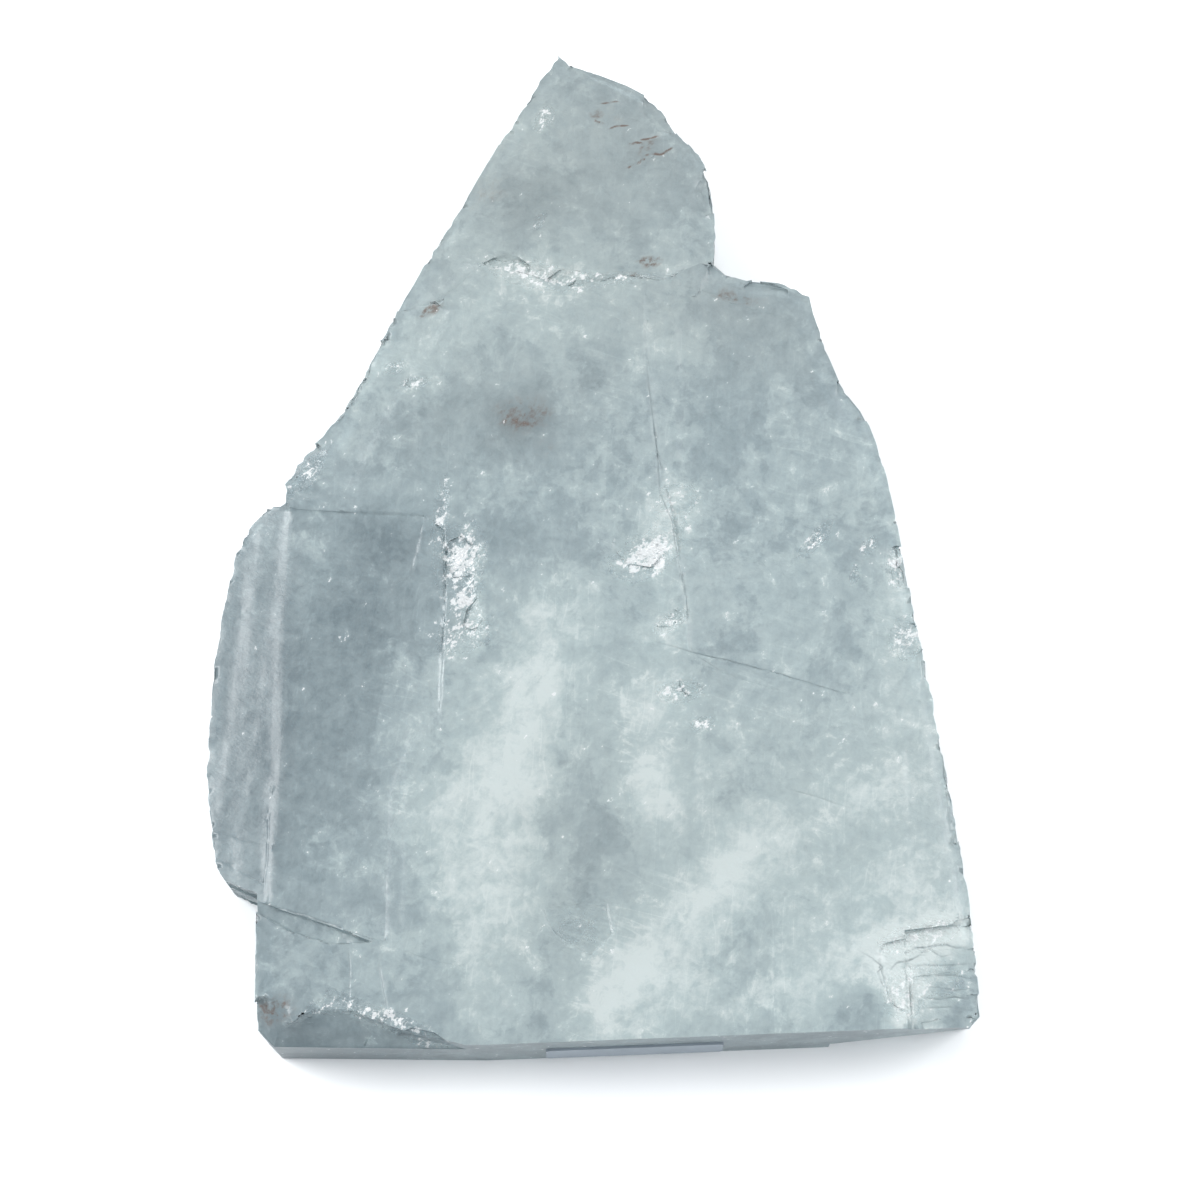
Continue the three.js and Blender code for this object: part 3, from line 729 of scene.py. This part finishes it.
    def _near(self, face: bmesh.types.BMFace, start: Vector, end: Vector) -> bool:
        """Whether the box round a face comes within reach of the box round a stretch of line."""
        reach = self.score_reach * MM
        xs = [vertex.co.x for vertex in face.verts]
        ys = [vertex.co.y for vertex in face.verts]
        return (min(xs) < max(start.x, end.x) + reach and max(xs) > min(start.x, end.x) - reach
                and min(ys) < max(start.y, end.y) + reach and max(ys) > min(start.y, end.y) - reach)

    @staticmethod
    def _side(vertex: bmesh.types.BMVert) -> Side:
        """Tells which side of the slab a vertex belongs to."""
        if vertex.normal.z > 0.6:
            return Side.TOP
        return Side.UNDERSIDE if vertex.normal.z < -0.6 else Side.WALL

    @staticmethod
    def _sum_patches(patches: Sequence[Patch], places: np.ndarray, sharp: float = 1.0) -> np.ndarray:
        """Adds up soft ovals at many places.

        Args:
            patches: The ovals.
            places: Plan coordinates in metres, one row for each.
            sharp: How steep the ovals' edges are; 1 is a plain bell.

        Returns:
            One number for each place.
        """
        total = np.zeros(len(places))
        for patch in patches:
            centre = place(patch.u, patch.v)
            turn = math.radians(patch.turn)
            dx = places[:, 0] - centre.x
            dy = places[:, 1] - centre.y
            along = (dx * math.cos(turn) + dy * math.sin(turn)) / (patch.long * MM)
            across = (dy * math.cos(turn) - dx * math.sin(turn)) / (patch.broad * MM)
            total += patch.strength * np.exp(-((along**2 + across**2) ** sharp) * 0.7)
        return total

    def _mark(self, bm: bmesh.types.BMesh, layers: dict[Mark, Any], sides: Sequence[Side]) -> None:
        """Writes the stone's tone of veils and clear places, stains and crushed places on its vertices; painted
        glint light, painted shade and painted highlight lines are among these marks.
        """
        plain = np.array([vertex.co for vertex in bm.verts])
        wander = np.array([noise.noise_vector(vertex.co * 70) * 3.6 + noise.noise_vector(vertex.co * 260) * 1.4
                           for vertex in bm.verts]) * MM
        tone = self._sum_patches(CLOUDS_AND_GLINT_LIGHT, plain + wander) - self._sum_patches(CLEAR_AND_PAINTED_SHADE, plain + wander)
        stain = self._sum_patches(STAINS, plain + wander * 0.6, 1.4)
        warmth = self._sum_patches(WARMTH, plain + wander)
        crush = self._sum_patches(CRUSHED_AND_GLINTS, plain + wander * 0.35)
        on_top = np.array([side is Side.TOP for side in sides])
        wall = np.array([side is Side.WALL for side in sides])
        crack, painted_gleam, sunk = np.zeros(len(plain)), np.zeros(len(plain)), np.zeros(len(plain))
        crooked = plain + np.array([noise.noise_vector(vertex.co * 310) for vertex in bm.verts]) * self.crooked * MM
        for score in SCORES:
            share = self._trace(score, crooked) * on_top
            crack = np.maximum(crack, share * score.crack)
            painted_gleam = np.maximum(painted_gleam, share * score.painted_gleam)
            stain = np.maximum(stain, share * score.stain)
            sunk = np.maximum(sunk, share * score.depth)
        shown = np.where(on_top, 1.0, 0.6)
        # Broken sides behind the sawn front get broken_side_tone, which takes back most of the painted shade that
        # the material puts on all walls.
        behind_cut = plain[:, 1] > STONE_BOX[0].y + self.cut_edge_depth * MM
        frosted = np.where(wall & behind_cut, self.broken_side_tone, 0.0)
        amounts = {Mark.TONE: tone * shown + frosted, Mark.STAIN: stain * shown, Mark.WARMTH: warmth,
                   Mark.CRACK: crack, Mark.PAINTED_GLEAM: painted_gleam,
                   Mark.CRUSH: np.where(on_top, np.minimum(crush, 1.3), 0.17), Mark.WALL: wall * 1.0}
        for i, vertex in enumerate(bm.verts):
            for mark, amount in amounts.items():
                vertex[layers[mark]] = float(amount[i])
            vertex.co.z -= float(sunk[i]) * MM

    def _relief(self, bm: bmesh.types.BMesh, layers: dict[Mark, Any], sides: Sequence[Side],
                outer: Sequence[bool]) -> None:
        """Moves the surface: swells and shards on the faces, leaves and jags in the broken sides.

        Args:
            bm: The mesh.
            layers: Where its marks are kept.
            sides: The side that each vertex belongs to.
            outer: Whether each vertex lies near the outline.
        """
        front = STONE_BOX[0].y + self.cut_edge_depth * MM
        moves: list[Vector] = []
        for vertex, side, is_outer in zip(bm.verts, sides, outer):
            at = vertex.co.copy()
            move = Vector((0.0, 0.0, 0.0))
            outwards = Vector((vertex.normal.x, vertex.normal.y, 0.0))
            if is_outer and at.y > front and outwards.length > 0.3:
                move -= outwards.normalized() * self._step(at)
            swell = noise.fractal(at * 45, 1.0, 2.0, 3) * self.swell
            if side is Side.TOP:
                crush = min(max(vertex[layers[Mark.CRUSH]] - 0.4, 0.0) * 1.8, 1.0)
                move.z += min(swell - 0.15, 0.0) * MM + (self._shard(at) - self.shard_tilt) * crush * MM
            elif side is Side.UNDERSIDE:
                move.z += max(swell, 0.0) * MM
            moves.append(move)
        for vertex, move in zip(bm.verts, moves):
            vertex.co += move

    def _shard(self, at: Vector) -> float:
        """Gives the height, in millimetres, of the small tilted face that a point lies on."""
        spot = Vector((at.x * 1.3 + at.y * 0.4, at.y * 0.75 - at.x * 0.2, 0.0)) / (self.shard * MM)
        centre = noise.voronoi(spot)[1][0]
        tilt = noise.cell_vector(centre * 37)
        height = (spot - centre).dot(Vector((tilt.x, tilt.y, 0.0))) + tilt.z * 0.3
        return min(max(height, -1.0), 1.0) * self.shard_tilt

    def _step(self, at: Vector) -> float:
        """Gives how far a point of a broken side lies back, in metres, by its leaf's own steps and small jags."""
        leaf = math.floor(at.z / (self.leaf * MM) + 0.87)
        step = (noise.noise(Vector((at.x * 60, at.y * 60, leaf * 7.3))) + 0.6 * noise.noise(at * 260)
                + 0.9 * noise.noise(at * 610))
        return max(step + 0.2, 0.0) * self.wall_step * MM

    @staticmethod
    def _shade_smoothly(bm: bmesh.types.BMesh, crease: float = 26.0) -> None:
        """Shades gentle turns smoothly, and keeps steps and chips crisp."""
        for face in bm.faces:
            face.smooth = True
        for edge in bm.edges:
            edge.smooth = edge.is_manifold and edge.calc_face_angle(0.0) < math.radians(crease)


@dataclass
class EdgeLabel:
    """The paper label stuck on the cut edge. Lengths are in millimetres."""

    stand_off: float = 0.3
    corner: float = 1.2

    def build(self) -> bpy.types.Object:
        """Makes the label's piece in place of the frame's node.

        Returns:
            The finished object.
        """
        bm = bmesh.new()
        bm.from_mesh(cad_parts[LABEL_NODE].data)
        bmesh.ops.remove_doubles(bm, verts=bm.verts, dist=0.002 * MM)
        bmesh.ops.dissolve_limit(bm, angle_limit=math.radians(1), verts=bm.verts, edges=bm.edges)
        bm.normal_update()
        outwards = max((f for f in bm.faces if f.normal.y < 0), key=lambda f: f.calc_area()).normal.copy()
        for vertex in [v for v in bm.verts if v.normal.dot(outwards) < 0]:
            vertex.co -= outwards * self.stand_off * MM
        short = [e for e in bm.edges if abs((e.verts[0].co - e.verts[1].co).normalized().dot(outwards)) > 0.9]
        bmesh.ops.bevel(bm, geom=short, offset=self.corner * MM, offset_type="OFFSET", affect="EDGES", segments=4,
                        profile=0.5, material=-1)
        mesh = bpy.data.meshes.new("label")
        bm.to_mesh(mesh)
        bm.free()
        label = bpy.data.objects.new("label", mesh)
        bpy.context.scene.collection.objects.link(label)
        mesh.materials.append(PaperFinish().make())
        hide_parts(LABEL_NODE)
        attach(label, BODY)
        return label


@dataclass(frozen=True)
class Lamp:
    """One square area light that looks at the slab. Its place is in metres, its power in watts."""

    name: str
    at: tuple[float, float, float]
    side: float
    power: float
    colour: tuple[float, float, float] = (1.0, 1.0, 1.0)


@dataclass
class Studio:
    """The pale floor, the soft lights and the camera that looks down on the slab."""

    lamps: tuple[Lamp, ...] = (
        Lamp("key", (-1.2, 0.35, 1.1), 0.9, 25.0),
        Lamp("fill", (1.15, 0.2, 1.2), 0.9, 16.0),
        Lamp("glint left", (-0.2, 1.1, 0.74), 0.12, 1.5),
        Lamp("glint right", (0.5, 0.75, 1.3), 0.10, 1.4),
    )
    elevation: float = 73.0
    distance: float = 0.62333
    aim: tuple[float, float, float] = (0.0026, -0.0202, 0.023)
    lens: float = 85.0
    sensor: float = 36.0
    floor_side: float = 6.0
    floor_gap: float = 0.0003

    def build(self) -> None:
        """Makes the floor, the lights and the camera."""
        self._floor()
        for lamp in self.lamps:
            self._light(lamp)
        self._camera()
        world = bpy.data.worlds.new("studio")
        bpy.context.scene.world = world
        world.use_nodes = True
        background = world.node_tree.nodes["Background"]
        background.inputs["Color"].default_value = (0.92, 0.96, 1.0, 1)
        background.inputs["Strength"].default_value = 0.8
        bpy.context.scene.view_settings.view_transform = "Standard"

    def _floor(self) -> None:
        """Lays the floor under the slab."""
        bm = bmesh.new()
        bmesh.ops.create_grid(bm, x_segments=2, y_segments=2, size=self.floor_side / 2)
        bmesh.ops.translate(bm, verts=bm.verts, vec=(0, 0, -self.floor_gap))
        mesh = bpy.data.meshes.new("floor")
        bm.to_mesh(mesh)
        bm.free()
        floor = bpy.data.objects.new("floor", mesh)
        bpy.context.scene.collection.objects.link(floor)
        mesh.materials.append(FloorFinish().make())

    @staticmethod
    def _look(at: Vector, target: Vector) -> Matrix:
        """Gives the turn that looks from one place to another."""
        return (target - at).to_track_quat("-Z", "Y").to_matrix().to_4x4()

    def _light(self, lamp: Lamp) -> None:
        """Hangs one light."""
        data = bpy.data.lights.new(lamp.name, "AREA")
        data.size = lamp.side
        data.energy = lamp.power
        data.color = lamp.colour
        light = bpy.data.objects.new(lamp.name, data)
        bpy.context.scene.collection.objects.link(light)
        at = Vector(lamp.at)
        light.matrix_world = Matrix.Translation(at) @ self._look(at, Vector((0, 0, 0.02)))

    def _camera(self) -> None:
        """Sets the camera at the photograph's angle."""
        data = bpy.data.cameras.new("camera")
        data.lens = self.lens
        data.sensor_width = self.sensor
        camera = bpy.data.objects.new("camera", data)
        bpy.context.scene.collection.objects.link(camera)
        target = Vector(self.aim)
        tilt = math.radians(self.elevation)
        at = target + Vector((0, -math.cos(tilt), math.sin(tilt))) * self.distance
        camera.matrix_world = Matrix.Translation(at) @ self._look(at, target)
        bpy.context.scene.camera = camera


def main() -> None:
    """Builds the slab, its label and the studio."""
    logging.basicConfig(level=logging.INFO, format="%(name)s: %(message)s")
    makers: tuple[Callable[[], bpy.types.Object], ...] = (Slab().build, EdgeLabel().build)
    for make in makers:
        piece = make()
        log.info("%s: %d faces", piece.name, len(piece.data.polygons))
    Studio().build()
    log.info("studio is set")


if __name__ == "__main__":
    main()
